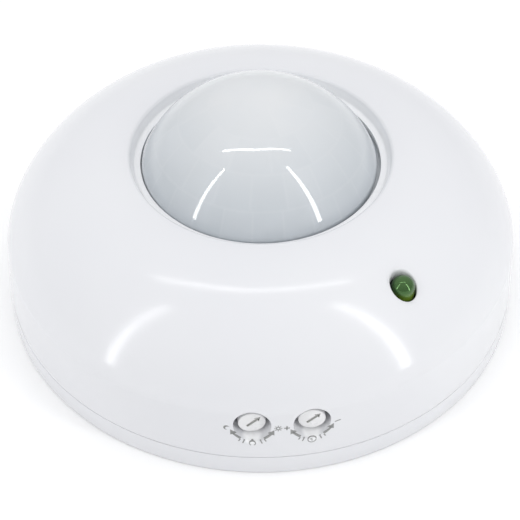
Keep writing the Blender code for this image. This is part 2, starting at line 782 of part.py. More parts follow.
def build():
    casing = material("casing_white", (0.83, 0.84, 0.86), 0.18)
    inner_white = material("inner_white", (0.78, 0.79, 0.80), 0.45)
    milky = material("lens_milky", (0.74, 0.77, 0.80), 0.08)
    knob_white = material("knob_white", (0.80, 0.80, 0.79), 0.35)
    green = material("led_green", (0.05, 0.20, 0.04), 0.05)
    board = material("board_green", (0.04, 0.16, 0.07), 0.4)
    can = material("can_steel", (0.62, 0.61, 0.58), 0.25, 1.0)
    zinc = material("screw_zinc", (0.60, 0.60, 0.62), 0.35, 1.0)
    brass = material("clamp_brass", (0.72, 0.55, 0.25), 0.3, 1.0)
    filter_dark = material("filter_dark", (0.03, 0.03, 0.035), 0.1)
    black = material("moulded_black", (0.025, 0.025, 0.027), 0.4)
    blue = material("relay_blue", (0.03, 0.10, 0.30), 0.35)
    yellow = material("film_yellow", (0.75, 0.55, 0.08), 0.4)
    sleeve = material("sleeve_black", (0.04, 0.04, 0.06), 0.35)
    varistor_blue = material("varistor_blue", (0.05, 0.16, 0.42), 0.3)
    resistor = material("resistor_tan", (0.62, 0.50, 0.34), 0.45)
    cell = material("cell_amber", (0.65, 0.28, 0.12), 0.25)
    terminal = material("terminal_white", (0.72, 0.72, 0.70), 0.4)

    base = pivot("base_pivot")
    head = pivot("head_pivot", parent=base)

    make_base(casing, base)
    make_cover(casing, head)
    make_rear_cover(inner_white, head)
    make_lens(milky, head)
    make_retainer(inner_white, head)
    make_fasteners(zinc, head)

    make_board(board, head)
    make_detector(can, filter_dark, inner_white, head)
    make_light_cell(cell, head)
    make_indicator(green, inner_white, head)

    make_relay(blue, head)
    make_film_capacitor(yellow, head)
    make_canned("smoothing_capacitor", (-22 * MM, -26 * MM), 5.0 * MM, 11.5 * MM, sleeve, head)
    make_canned("timing_capacitor", (-20 * MM, 30 * MM), 3.15 * MM, 10.0 * MM, sleeve, head)
    make_varistor(varistor_blue, head)
    make_axial("fusible_resistor", (-9 * MM, 24 * MM, 16.6 * MM), 1.9 * MM, 9.5 * MM, 0, resistor, head)
    for number in range(4):
        place = ((3 + 5 * number) * MM, -23 * MM, 17.2 * MM)
        make_axial(f"rectifier_diode_{number + 1}", place, 1.35 * MM, 5.2 * MM, 90, black, head)
    make_chip(black, head)
    make_small_transistor("voltage_regulator", (7 * MM, 26 * MM), black, head)
    make_small_transistor("relay_transistor", (21 * MM, -33 * MM), black, head)
    make_terminal_block(terminal, zinc, brass, head)

    make_trimmer("lux_trimmer", -KNOB_X, black, head)
    make_trimmer("time_trimmer", KNOB_X, black, head)
    make_knob("lux_knob", -1, knob_white, head)
    make_knob("time_knob", 1, knob_white, head)

    for tool in list(TOOLS.objects):
        bpy.data.objects.remove(tool)
    bpy.data.collections.remove(TOOLS)


build()
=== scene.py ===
# %% [markdown]
# # A ceiling motion sensor
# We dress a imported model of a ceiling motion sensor. The frame holds every part at its real
# size; here the visible parts are modelled again in fine detail and every part gets its finish.
# Lengths are written in millimetres times MM, because Blender's unit is the metre.

# %% Load the frame
import math

import bpy
from mathutils import Matrix, Vector
from mathutils.geometry import interpolate_bezier


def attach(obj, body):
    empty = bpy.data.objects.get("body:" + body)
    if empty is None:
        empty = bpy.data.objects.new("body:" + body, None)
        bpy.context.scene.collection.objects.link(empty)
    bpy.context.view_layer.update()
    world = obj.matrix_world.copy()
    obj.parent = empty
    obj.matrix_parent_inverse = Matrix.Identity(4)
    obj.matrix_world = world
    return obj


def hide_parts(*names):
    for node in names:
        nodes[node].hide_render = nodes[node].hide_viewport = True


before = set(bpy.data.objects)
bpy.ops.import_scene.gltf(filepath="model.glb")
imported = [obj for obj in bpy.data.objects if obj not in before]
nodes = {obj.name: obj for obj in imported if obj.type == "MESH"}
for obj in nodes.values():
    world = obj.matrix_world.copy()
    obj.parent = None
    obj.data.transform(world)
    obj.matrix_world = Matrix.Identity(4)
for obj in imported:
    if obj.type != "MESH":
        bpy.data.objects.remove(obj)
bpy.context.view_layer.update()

MM = 0.001
print("parts in the frame:", len(nodes))

# %% [markdown]
# ## Tools for modelling by hand
# Round parts are drawn as half a section, one extrude at a time, and then spun once round the
# Z axis. Small helpers select objects, draw the line, settle a finished part at the origin
# and spin the section, through a whole turn or part of one. Doubles are merged before the
# normals are turned out.

# %% Select, draw, spin
MERGE = 0.002 * MM


def pick(*objs):
    """Leaves edit mode and selects only these objects. The first one is the active one."""
    if bpy.context.mode != "OBJECT":
        bpy.ops.object.mode_set(mode="OBJECT")
    bpy.ops.object.select_all(action="DESELECT")
    for obj in objs:
        obj.select_set(True)
    if objs:
        bpy.context.view_layer.objects.active = objs[0]


def draw_line(name, points):
    """Draws a line through 3-D points, one extrude at a time, and stays in edit mode."""
    pick()
    bpy.ops.mesh.primitive_plane_add(size=0.1 * MM, location=points[0])
    obj = bpy.context.object
    obj.name = obj.data.name = name
    bpy.ops.object.mode_set(mode="EDIT")
    bpy.ops.mesh.select_mode(type="VERT")
    bpy.ops.mesh.merge(type="CENTER")
    for start, end in zip(points, points[1:]):
        step = Vector(end) - Vector(start)
        bpy.ops.mesh.extrude_region_move(TRANSFORM_OT_translate={"value": step})
    return obj


def settle(obj):
    """Puts the object at the origin, with its place in its mesh."""
    pick(obj)
    bpy.ops.object.transform_apply(location=True, rotation=True, scale=True)
    return obj


def spin_part(name, section, steps=192, closed=False):
    """Spins a section of (radius, height) points once round the Z axis."""
    points = [(r, 0, z) for r, z in section]
    if closed:
        points.append(points[0])
    obj = draw_line(name, points)
    bpy.ops.mesh.select_all(action="SELECT")
    bpy.ops.mesh.spin(steps=steps, angle=math.tau, center=(0, 0, 0), axis=(0, 0, 1))
    bpy.ops.mesh.select_all(action="SELECT")
    bpy.ops.mesh.remove_doubles(threshold=MERGE)
    bpy.ops.mesh.normals_make_consistent(inside=False)
    return settle(obj)


def sector(section, start, end, steps):
    """Spins a closed section from one angle to another. The sweep runs back from the end."""
    part = draw_line("sector", [(r, 0, z) for r, z in section])
    bpy.ops.mesh.select_all(action="SELECT")
    bpy.ops.mesh.edge_face_add()
    turn = math.radians(end - start)
    bpy.ops.mesh.spin(steps=steps, angle=turn, center=(0, 0, 0), axis=(0, 0, 1))
    bpy.ops.mesh.select_all(action="SELECT")
    bpy.ops.mesh.remove_doubles(threshold=MERGE)
    bpy.ops.mesh.normals_make_consistent(inside=False)
    settle(part)
    part.rotation_euler.z = math.radians(end)
    return settle(part)


# %% [markdown]
# Real mouldings have no razor edges. After a spin, the loops that need a radius are found by
# their radius and height and bevelled. Screw posts and holes are added with Booleans, which
# these helpers apply at once. Flat shapes are filled and extruded.

# %% Round, cut, join
def select_edges(obj, test):
    """Enters edit mode with only those edges selected whose two ends pass the test."""
    pick(obj)
    bpy.ops.object.mode_set(mode="EDIT")
    bpy.ops.mesh.select_mode(type="EDGE")
    bpy.ops.mesh.select_all(action="DESELECT")
    bpy.ops.object.mode_set(mode="OBJECT")
    points = obj.data.vertices
    for edge in obj.data.edges:
        edge.select = all(test(points[i].co) for i in edge.vertices)
    bpy.ops.object.mode_set(mode="EDIT")


def select_points(obj, test):
    """Enters edit mode with only the points that pass the test selected."""
    pick(obj)
    bpy.ops.object.mode_set(mode="EDIT")
    bpy.ops.mesh.select_mode(type="VERT")
    bpy.ops.mesh.select_all(action="DESELECT")
    bpy.ops.object.mode_set(mode="OBJECT")
    for point in obj.data.vertices:
        point.select = test(point.co)
    bpy.ops.object.mode_set(mode="EDIT")


def round_ring(obj, radius, height, width, segments=3):
    """Bevels the loop at one radius and height."""
    near = 0.02 * MM
    select_edges(
        obj, lambda p: abs(p.xy.length - radius) < near and abs(p.z - height) < near
    )
    bpy.ops.mesh.bevel(offset=width, segments=segments, affect="EDGES")
    bpy.ops.object.mode_set(mode="OBJECT")


def boolean(obj, operation, *others):
    """Cuts, joins or trims with the other objects, which are used up."""
    for other in others:
        pick(obj)
        change = obj.modifiers.new("shape", "BOOLEAN")
        change.operation = operation
        change.solver = "EXACT"
        change.object = other
        bpy.ops.object.modifier_apply(modifier="shape")
        bpy.data.objects.remove(other)
    return obj


def pin(radius, start, end, sides=48):
    """A straight round pin between two points, for a post or a hole."""
    start, end = Vector(start), Vector(end)
    pick()
    bpy.ops.mesh.primitive_cylinder_add(
        vertices=sides,
        radius=radius,
        depth=(end - start).length,
        location=(start + end) / 2,
        rotation=(end - start).to_track_quat("Z", "Y").to_euler(),
    )
    return settle(bpy.context.object)


def slab(size, centre):
    """A box at a place."""
    pick()
    bpy.ops.mesh.primitive_cube_add(size=1, location=centre)
    obj = bpy.context.object
    obj.scale = size
    return settle(obj)


def filled(name, outline, way):
    """Fills a closed outline of 3-D points and extrudes it along a vector."""
    obj = draw_line(name, outline + [outline[0]])
    bpy.ops.mesh.select_all(action="SELECT")
    bpy.ops.mesh.remove_doubles(threshold=MERGE / 2)
    bpy.ops.mesh.edge_face_add()
    bpy.ops.mesh.extrude_region_move(TRANSFORM_OT_translate={"value": way})
    bpy.ops.mesh.select_all(action="SELECT")
    bpy.ops.mesh.normals_make_consistent(inside=False)
    return settle(obj)


def polar(radius, degrees, height=0.0):
    """The point at a distance from the Z axis, in a direction and at a height."""
    angle = math.radians(degrees)
    return Vector((radius * math.cos(angle), radius * math.sin(angle), height))


def smooth(obj, degrees=32):
    """Smooth shading that keeps the corners."""
    pick(obj)
    bpy.ops.object.shade_smooth_by_angle(angle=math.radians(degrees))


# %% [markdown]
# ## Finishes
# Each finish is a Principled shader fed by noise on Object coordinates, so the pattern stays
# on the part from every side. The last helper builds the small node tree that most of them
# share: cloudy colour, cloudy roughness and a bump for the skin of the moulding.

# %% Shared finish
def blank(name):
    """A new material, its node tree and its shader."""
    made = bpy.data.materials.new(name)
    made.use_nodes = True
    shader = made.node_tree.nodes["Principled BSDF"]
    return made, made.node_tree, shader


def add(tree, kind, settings=None, **sockets):
    """Adds a node. Sockets are set by name, or linked when the value is another socket."""
    made = tree.nodes.new(kind)
    for key, value in (settings or {}).items():
        setattr(made, key, value)
    for key, value in sockets.items():
        put(tree, made.inputs[key.replace("_", " ")], value)
    return made


def put(tree, socket, value):
    """Links a socket when the value is another socket, and sets it otherwise."""
    if isinstance(value, bpy.types.NodeSocket):
        tree.links.new(value, socket)
    else:
        socket.default_value = value


def object_place(tree):
    return add(tree, "ShaderNodeTexCoord").outputs["Object"]


def cloud(tree, scale, detail=3.0, place=None):
    """Noise with blobs about one over scale metres wide."""
    place = place or object_place(tree)
    noise = add(tree, "ShaderNodeTexNoise", Vector=place, Scale=scale, Detail=detail)
    return noise.outputs["Fac"]


def ramp(tree, value, start, end, low=0.0, high=1.0, kind="LINEAR"):
    """Rises from low to high while the value goes from start to end."""
    made = add(tree, "ShaderNodeMapRange", {"interpolation_type": kind}, Value=value)
    bounds = {"From Min": start, "From Max": end, "To Min": low, "To Max": high}
    for socket, bound in bounds.items():
        made.inputs[socket].default_value = bound
    return made.outputs["Result"]


def between(tree, noise, low, high):
    """Spreads the middle of a noise over a new range."""
    return ramp(tree, noise, 0.3, 0.7, low, high)


def blend_colours(tree, factor, first, second):
    """The first colour where the factor is 0, the second where it is 1."""
    mix = add(tree, "ShaderNodeMix", {"data_type": "RGBA"})
    put(tree, mix.inputs["Factor"], factor)
    for socket, value in ((mix.inputs[6], first), (mix.inputs[7], second)):
        put(tree, socket, value if isinstance(value, bpy.types.NodeSocket) else (*value, 1.0))
    return mix.outputs[2]


def math_node(tree, operation, first, second=None):
    """The result of a sum on one or two numbers or sockets."""
    made = add(tree, "ShaderNodeMath", {"operation": operation})
    put(tree, made.inputs[0], first)
    if second is not None:
        put(tree, made.inputs[1], second)
    return made.outputs[0]


def axes(tree, place):
    """The X, Y and Z of a place."""
    return add(tree, "ShaderNodeSeparateXYZ", Vector=place).outputs


def from_z_axis(tree, x, y):
    """The distance from the Z axis."""
    squares = [math_node(tree, "MULTIPLY", v, v) for v in (x, y)]
    return math_node(tree, "SQRT", math_node(tree, "ADD", *squares))


def shade(colour, factor):
    """A lighter or darker colour."""
    return tuple(min(1.0, c * factor) for c in colour)


def bump(tree, shader, height, strength, distance):
    made = add(tree, "ShaderNodeBump", Height=height, Strength=strength, Distance=distance)
    tree.links.new(made.outputs["Normal"], shader.inputs["Normal"])


def moulded(name, colour, roughness, grain=900.0, depth=0.004, vary=0.03, metallic=0.0):
    """Plastic, paint or plate: a cloudy colour, uneven gloss and a fine skin."""
    made, tree, shader = blank(name)
    place = object_place(tree)
    patch = between(tree, cloud(tree, 60.0, place=place), 0.0, 1.0)
    colours = blend_colours(tree, patch, shade(colour, 1 - vary), shade(colour, 1 + vary))
    tree.links.new(colours, shader.inputs["Base Color"])
    gloss = between(tree, cloud(tree, 240.0, place=place), roughness * 0.85, roughness * 1.15)
    tree.links.new(gloss, shader.inputs["Roughness"])
    bump(tree, shader, cloud(tree, grain, place=place), 0.35, depth * MM)
    shader.inputs["Metallic"].default_value = metallic
    return made


# %% [markdown]
# ## The head's shell
# The shell is one glossy moulding. Its wall leans in by four degrees, its crown is one long
# curve, and a short sloping step leads down to the ledge round the lens. The section is
# drawn from the lens opening, over the crown and down the wall, and back along the inside.

# %% Shell section
BODY_R, SHELL_FOOT = 57.5 * MM, 5.28 * MM
LEDGE, RIM, RIM_TOP = 35.65 * MM, 28.4 * MM, 38.0 * MM
STEP_FOOT, OPENING = 27.45 * MM, 26.05 * MM
WALL, LEDGE_BOTTOM, RIB_IN, RIB_OUT, RIB_LOW = 2 * MM, 34.6 * MM, 30.6 * MM, 31.9 * MM, 33.4 * MM
crown_start, crown_end = Vector((RIM, 0, RIM_TOP)), Vector((56.67, 0, 17.3)) * MM
crown = interpolate_bezier(
    crown_start,
    crown_start + Vector((19.9, 0, -0.93)) * MM,
    crown_end + Vector((-0.02, 0, 3.0)) * MM,
    crown_end,
    44,
)
outside = [Vector((p.x, p.z)) for p in crown]
wall_foot = Vector((BODY_R, SHELL_FOOT))
outside += [outside[-1].lerp(wall_foot, i / 6) for i in range(1, 7)]


def inset(points, distance):
    """The same line moved inwards by a wall's thickness."""
    moved = []
    for i, point in enumerate(points):
        along = (points[min(i + 1, len(points) - 1)] - points[max(i - 1, 0)]).normalized()
        moved.append(point + Vector((along.y, -along.x)) * distance)
    return moved


inside = [p for p in inset(outside, WALL) if p.x > RIB_OUT + 0.5 * MM and p.y > 5.5 * MM]
shell_section = [
    (OPENING, LEDGE),
    (STEP_FOOT, LEDGE),
    *[tuple(p) for p in outside],
    (BODY_R - WALL, SHELL_FOOT),
    *[tuple(p) for p in reversed(inside[::2])],
    (RIB_OUT, inside[0].y + 0.1 * MM),
    (RIB_OUT, RIB_LOW),
    (RIB_IN, RIB_LOW),
    (RIB_IN, LEDGE_BOTTOM),
    (OPENING, LEDGE_BOTTOM),
]
shell = spin_part("head_shell", shell_section, steps=240, closed=True)
round_ring(shell, RIM, RIM_TOP, 0.55 * MM, 5)
round_ring(shell, STEP_FOOT, LEDGE, 0.3 * MM, 3)
round_ring(shell, OPENING, LEDGE, 0.08 * MM, 2)
round_ring(shell, BODY_R, SHELL_FOOT, 0.14 * MM, 3)
print("shell faces after the spin:", len(shell.data.polygons))

# %% [markdown]
# Inside, the shell carries three long posts for the case screws, three short ones for the
# lens ring, a collar behind each knob well and three bayonet lugs. Each post is trimmed by a
# plug that follows the middle of the wall, so none shows through the crown.

# %% Posts, collars and lugs
LUGS = (90, 210, 330)
CASE_POSTS = dict(angles=(90, 215, 325), ring=41, foot=21.4, radius=2.9, bore=1.4, end=30)
LENS_POSTS = dict(angles=(30, 150, 270), ring=36, foot=33.3, radius=2.6, bore=1.15, end=35.6)
KNOBS_X, KNOBS_Z, WELL_R = 6.05 * MM, 14.6 * MM, 3.8 * MM
middle = [tuple(p) for p in inset(outside, 1 * MM)]
plug_section = [(0, middle[0][1]), *middle[:-2:3], (56.0 * MM, 7.2 * MM), (0, 7.2 * MM)]


def trimmed(part):
    """Cuts a post off at the middle of the wall."""
    return boolean(part, "INTERSECT", spin_part("plug", plug_section, steps=96))


def add_posts(angles, ring, foot, radius, bore, end):
    """Posts with screw holes on a ring. All lengths are in mm."""
    for angle in angles:
        low, top, hole_end = (polar(ring * MM, angle, z * MM) for z in (foot, 38, end))
        boolean(shell, "UNION", trimmed(pin(radius * MM, low, top, 40)))
        boolean(shell, "DIFFERENCE", pin(bore * MM, low - Vector((0, 0, MM)), hole_end, 24))


add_posts(**CASE_POSTS)
add_posts(**LENS_POSTS)
lug_section = [(r * MM, z * MM) for r, z in ((53.2, 7.6), (56.3, 7.6), (56.3, 6.1), (53.2, 6.1))]
for angle in LUGS:
    boolean(shell, "UNION", sector(lug_section, angle - 6.1, angle + 4, 12))
print("shell faces with its posts:", len(shell.data.polygons))

# %% [markdown]
# The two knob wells go straight in through the wall and the indicator's hole goes straight
# down through the crown. After each cut, the loop where the hole meets the outer skin is
# cleaned of stray points and given a small radius, which catches a thin line of light. A
# tilted pin scoops out the lower lip of each well, and the indicator's hole lies a little
# to one side of the lamp.

# %% Wells and indicator hole
LED_PLACE = polar(44.9 * MM, -54.56)
LED_HOLE, LED_HOLE_R = LED_PLACE + Vector((-0.04, -0.22, 0)) * MM, 2.78 * MM
SCOOP_R, SCOOP_WAY = 3.75 * MM, Vector((0, -1, -0.34)).normalized()


def soften_mouth(obj, outside_by, width):
    """Rounds the outer edge of a hole. outside_by() says how far a point is outside it."""
    near, stray = 0.03 * MM, 0.12 * MM

    def on_mouth(p):
        return abs(outside_by(p)) < near and on_skin(p)

    def beside_mouth(p):
        return near < outside_by(p) < 2 * width and on_skin(p)

    select_points(obj, beside_mouth)
    bpy.ops.mesh.dissolve_verts()
    select_points(obj, on_mouth)
    bpy.ops.mesh.remove_doubles(threshold=stray)
    bpy.ops.object.mode_set(mode="OBJECT")
    select_edges(obj, on_mouth)
    bpy.ops.mesh.bevel(offset=width, segments=4, affect="EDGES", clamp_overlap=False)
    bpy.ops.object.mode_set(mode="OBJECT")


def on_skin(p):
    """True where a point lies on the outer line of the shell."""
    here, near = Vector((p.xy.length, p.z)), 0.06 * MM
    for a, b in zip(outside, outside[1:]):
        span = b - a
        t = (here - a).dot(span) / span.length_squared
        if -0.01 <= t <= 1.01 and (a + span * t - here).length < near:
            return True
    return False


def scoop_place(x):
    """A point on the middle line of a well's scoop."""
    return Vector((x, -56.2 * MM, 14.15 * MM))


def outside_well(p, x):
    """How far a point is outside the well and the scoop in its lower lip."""
    if p.y > 0:
        return 1.0
    from_scoop = p - scoop_place(x)
    beside_scoop = (from_scoop - from_scoop.dot(SCOOP_WAY) * SCOOP_WAY).length
    return min(math.hypot(p.x - x, p.z - KNOBS_Z) - WELL_R, beside_scoop - SCOOP_R)


for x in (-KNOBS_X, KNOBS_X):
    collar = pin(WELL_R + MM, (x, -51.8 * MM, KNOBS_Z), (x, -58 * MM, KNOBS_Z), 56)
    boolean(shell, "UNION", trimmed(collar))
for x in (-KNOBS_X, KNOBS_X):
    well = pin(WELL_R, (x, -50 * MM, KNOBS_Z), (x, -60 * MM, KNOBS_Z), 64)
    scoop_start = scoop_place(x) - 2.4 * MM * SCOOP_WAY
    scoop_end = scoop_place(x) + 4 * MM * SCOOP_WAY
    boolean(shell, "DIFFERENCE", well, pin(SCOOP_R, scoop_start, scoop_end, 64))
    soften_mouth(shell, lambda p, x=x: outside_well(p, x), 0.18 * MM)
hole_start, hole_end = (LED_HOLE + Vector((0, 0, z * MM)) for z in (25, 40))
led_hole = pin(LED_HOLE_R, hole_start, hole_end, 56)
boolean(shell, "DIFFERENCE", led_hole)
soften_mouth(shell, lambda p: (p.xy - LED_HOLE.xy).length - LED_HOLE_R, 0.5 * MM)
smooth(shell, 30)
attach(shell, "head")
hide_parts("front_cover")
print("finished shell:", len(shell.data.polygons), "faces")

# %% [markdown]
# ## Casing white
# The shell and the base are glossy white plastic, a touch cool. The gloss isn't a mirror:
# the strips of light show as soft streaks with slightly uneven edges. A fine ripple in the
# bump gives that edge, and the roughness wanders a little over the surface. The recess round
# the lens and the lower lips of the wells are painted a lighter white: painted light that
# lifts the shade in them.

# %% Casing finish
def casing_finish():
    made, tree, shader = blank("casing_white_finish")
    place = object_place(tree)
    patch = between(tree, cloud(tree, 30.0, place=place), 0.0, 1.0)
    colours = blend_colours(tree, patch, (0.685, 0.69, 0.715), (0.70, 0.705, 0.725))
    x, y, z = axes(tree, place)
    radius = from_z_axis(tree, x, y)
    # Painted light: the recess round the lens is painted a lighter white, which lifts the shade in
    # it.
    recess = ramp(tree, radius, 28.7 * MM, 27.9 * MM, kind="SMOOTHSTEP")
    high_up = math_node(tree, "GREATER_THAN", z, 34.9 * MM)
    recess_painted_light = math_node(tree, "MULTIPLY", recess, high_up)
    colours = blend_colours(tree, recess_painted_light, colours, (0.84, 0.845, 0.86))
    # Painted light: the lower lip of each well is painted near white, which lifts the shade in it.
    for lip_x in (-KNOBS_X, KNOBS_X):
        away = add(tree, "ShaderNodeVectorMath", {"operation": "DISTANCE"})
        tree.links.new(place, away.inputs[0])
        away.inputs[1].default_value = (lip_x, -55.4 * MM, KNOBS_Z - 3.9 * MM)
        lip = ramp(tree, away.outputs["Value"], 2.3 * MM, 1.2 * MM, kind="SMOOTHSTEP")
        colours = blend_colours(tree, lip, colours, (0.93, 0.935, 0.94))
    tree.links.new(colours, shader.inputs["Base Color"])
    gloss = between(tree, cloud(tree, 150.0, place=place), 0.13, 0.16)
    tree.links.new(gloss, shader.inputs["Roughness"])
    ripple = cloud(tree, 420.0, 2.0, place)
    bump(tree, shader, ripple, 0.25, 0.004 * MM)
    shader.inputs["IOR"].default_value = 1.5
    shader.inputs["Specular IOR Level"].default_value = 0.45
    return made


casing = casing_finish()
shell.data.materials.append(casing)

# %% [markdown]
# ## The base
# The base is a shallow tray: a rim that shows under the parting line, a spigot that centres
# the head, a collar round the cable hole, two slots for the mounting screws and three
# bayonet hooks. Its back, which lies on the ceiling, has two shallow moulded rings.

# %% Base tray
BASE_TOP, FLOOR_TOP = 5.12 * MM, 1.8 * MM
SPIGOT_IN, SPIGOT_OUT, SPIGOT_TOP = 53.6 * MM, 54.9 * MM, 5.7 * MM
COLLAR_IN, COLLAR_OUT, COLLAR_TOP = 10.0 * MM, 11.4 * MM, 3.0 * MM
base_section = [
    (SPIGOT_IN, SPIGOT_TOP),
    (SPIGOT_OUT, SPIGOT_TOP),
    (SPIGOT_OUT, BASE_TOP),
    (BODY_R, BASE_TOP),
    (BODY_R, 0),
    (52.0 * MM, 0),
    (51.6 * MM, 0.4 * MM),
    (50.4 * MM, 0.4 * MM),
    (50.0 * MM, 0),
    (24.0 * MM, 0),
    (23.7 * MM, 0.3 * MM),
    (22.9 * MM, 0.3 * MM),
    (22.6 * MM, 0),
    (COLLAR_IN, 0),
    (COLLAR_IN, COLLAR_TOP),
    (COLLAR_OUT, COLLAR_TOP),
    (COLLAR_OUT, FLOOR_TOP),
    (SPIGOT_IN, FLOOR_TOP),
]
base = spin_part("base_tray", base_section, steps=240, closed=True)
round_ring(base, BODY_R, 0, 0.5 * MM, 5)
round_ring(base, BODY_R, BASE_TOP, 0.14 * MM, 3)
round_ring(base, COLLAR_IN, 0, 0.3 * MM, 3)
round_ring(base, COLLAR_IN, COLLAR_TOP, 0.2 * MM, 2)
round_ring(base, COLLAR_OUT, COLLAR_TOP, 0.2 * MM, 2)
SLOT_R, SLOT_X, SLOT_Y = 2.5 * MM, 33 * MM, 4 * MM
for x in (-SLOT_X, SLOT_X):
    slot = slab((2 * SLOT_R, 2 * SLOT_Y, 8 * MM), (x, 0, MM))
    ends = [pin(SLOT_R, (x, y, -3 * MM), (x, y, 5 * MM), 40) for y in (-SLOT_Y, SLOT_Y)]
    boolean(slot, "UNION", *ends)
    boolean(base, "DIFFERENCE", slot)
print("base tray faces:", len(base.data.polygons))


# %% Bayonet hooks
hook_line = ((51.2, 9.4), (54.7, 9.4), (54.7, 7.95), (52.8, 7.95), (52.8, 1.3), (51.2, 1.3))
stop_line = ((52.0, 8.6), (54.4, 8.6), (54.4, 5.2), (52.0, 5.2))
hook_section = [(r * MM, z * MM) for r, z in hook_line]
stop_section = [(r * MM, z * MM) for r, z in stop_line]
for angle in LUGS:
    hook = sector(hook_section, angle - 8, angle + 6, 12)
    boolean(hook, "UNION", sector(stop_section, angle - 7.7, angle - 6.5, 3))
    boolean(base, "UNION", hook)
smooth(base, 30)
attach(base, "base")
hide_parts("base_plate")
base.data.materials.append(casing)
print("base with hooks:", len(base.data.polygons), "faces")

# %% [markdown]
# ## The lens
# The lens is a thin dome of milky plastic, smooth and shiny outside. It is a part of a
# sphere round the detector with a straight neck and a flange, which the ring clamps under
# the ledge. Outer and inner skin are drawn as one closed section and spun together. The
# lens stands a little off centre in its opening, within the play of its flange.

# %% Lens dome
LENS_R, LENS_Z, NECK, THICK = 27.82 * MM, 24.84 * MM, 25.5 * MM, 0.8 * MM
FLANGE_R, FLANGE_TOP, FLANGE_LOW = 30.2 * MM, 34.3 * MM, 33.3 * MM
LENS_SHIFT = (-0.26 * MM, -0.22 * MM, 0)
FACET_RING, FACET_LINE = math.radians(15.5), 0.07


def dome(radius, neck, height, count):
    """Points down a dome from its pole to its neck."""
    last = math.acos(neck / radius)
    points = [(0.0, height + radius)]
    for i in range(1, count):
        angle = math.pi / 2 + (last - math.pi / 2) * i / (count - 1)
        points.append((radius * math.cos(angle), height + radius * math.sin(angle)))
    return points


outer_skin = dome(LENS_R, NECK, LENS_Z, 48) + [(NECK, FLANGE_TOP)]
inner_skin = dome(LENS_R - THICK, NECK - THICK, LENS_Z, 33) + [(NECK - THICK, FLANGE_LOW)]
flange = [(FLANGE_R, FLANGE_TOP), (FLANGE_R, FLANGE_LOW)]
lens = spin_part("lens_dome", outer_skin + flange + list(reversed(inner_skin)), steps=144)
lens.location = LENS_SHIFT
settle(lens)
smooth(lens, 40)
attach(lens, "head")
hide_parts("fresnel_lens")
print("lens:", len(lens.data.polygons), "faces")

# %% [markdown]
# The inside of such a lens is a mosaic of small ring-grooved lenses: one at the pole and
# rings of facets below it. Through the milky wall they show only as a faint pattern. The
# finish works it out from the direction of each point seen from the centre of the sphere:
# the angle down from the pole gives the ring, and the angle round Z gives the facet.

# %% Milky finish
def facet_pattern(tree, place):
    """1 inside a facet and 0 on its lines, the rings down from the pole, and the facet's tone."""
    centred = add(tree, "ShaderNodeVectorMath", {"operation": "SUBTRACT"})
    put(tree, centred.inputs[0], place)
    centred.inputs[1].default_value = (0, 0, LENS_Z)
    x, y, z = axes(tree, centred.outputs[0])
    flat = from_z_axis(tree, x, y)
    down = math_node(tree, "DIVIDE", math_node(tree, "ARCTAN2", flat, z), FACET_RING)
    round_z = math_node(tree, "DIVIDE", math_node(tree, "ARCTAN2", y, x), math.tau)
    shifted = math_node(tree, "ADD", down, 0.5)
    ring = math_node(tree, "FLOOR", shifted)
    count = math_node(tree, "MAXIMUM", math_node(tree, "MULTIPLY", ring, 6.0), 1.0)
    shift = math_node(tree, "MULTIPLY", ring, 0.037)
    turn = math_node(tree, "MULTIPLY", math_node(tree, "ADD", round_z, shift), count)
    along, across = math_node(tree, "FRACT", shifted), math_node(tree, "FRACT", turn)
    edges = []
    for value in (along, across):
        middle = math_node(tree, "ABSOLUTE", math_node(tree, "SUBTRACT", value, 0.5))
        edges.append(ramp(tree, middle, 0.5, 0.5 - FACET_LINE, kind="SMOOTHSTEP"))
    number = add(tree, "ShaderNodeCombineXYZ", X=ring, Y=math_node(tree, "FLOOR", turn))
    facet_tone = add(tree, "ShaderNodeTexWhiteNoise", Vector=number.outputs[0]).outputs["Value"]
    return math_node(tree, "MULTIPLY", *edges), down, facet_tone


def milky_finish():
    made, tree, shader = blank("lens_milky_finish")
    place = object_place(tree)
    inside_facet, down, facet_tone = facet_pattern(tree, place)
    # Painted shade: the milky colour darkens from the pole down to the neck, standing in for the
    # shade on the lower lens.
    lens_painted_shade = ramp(tree, down, 0.0, 4.8, kind="SMOOTHSTEP")
    body = blend_colours(tree, lens_painted_shade, (0.81, 0.82, 0.83), (0.555, 0.60, 0.64))
    haze = between(tree, cloud(tree, 110.0, 4.0, place), 0.0, 0.3)
    body = blend_colours(tree, haze, body, (0.70, 0.74, 0.78))
    uneven = math_node(tree, "MULTIPLY", math_node(tree, "MULTIPLY", facet_tone, down), 0.06)
    body = blend_colours(tree, uneven, body, (0.52, 0.57, 0.61))
    line = math_node(tree, "MULTIPLY", math_node(tree, "SUBTRACT", 1.0, inside_facet), 0.12)
    tone = blend_colours(tree, line, body, (0.78, 0.80, 0.82))
    tree.links.new(tone, shader.inputs["Base Color"])
    shader.inputs["Roughness"].default_value = 0.45
    shader.inputs["IOR"].default_value = 1.5
    shader.inputs["Transmission Weight"].default_value = 0.25
    shader.inputs["Coat Weight"].default_value = 1.0
    shader.inputs["Coat Roughness"].default_value = 0.035
    shader.inputs["Coat IOR"].default_value = 1.64
    bump(tree, shader, inside_facet, 0.14, 0.02 * MM)
    return made


lens.data.materials.append(milky_finish())
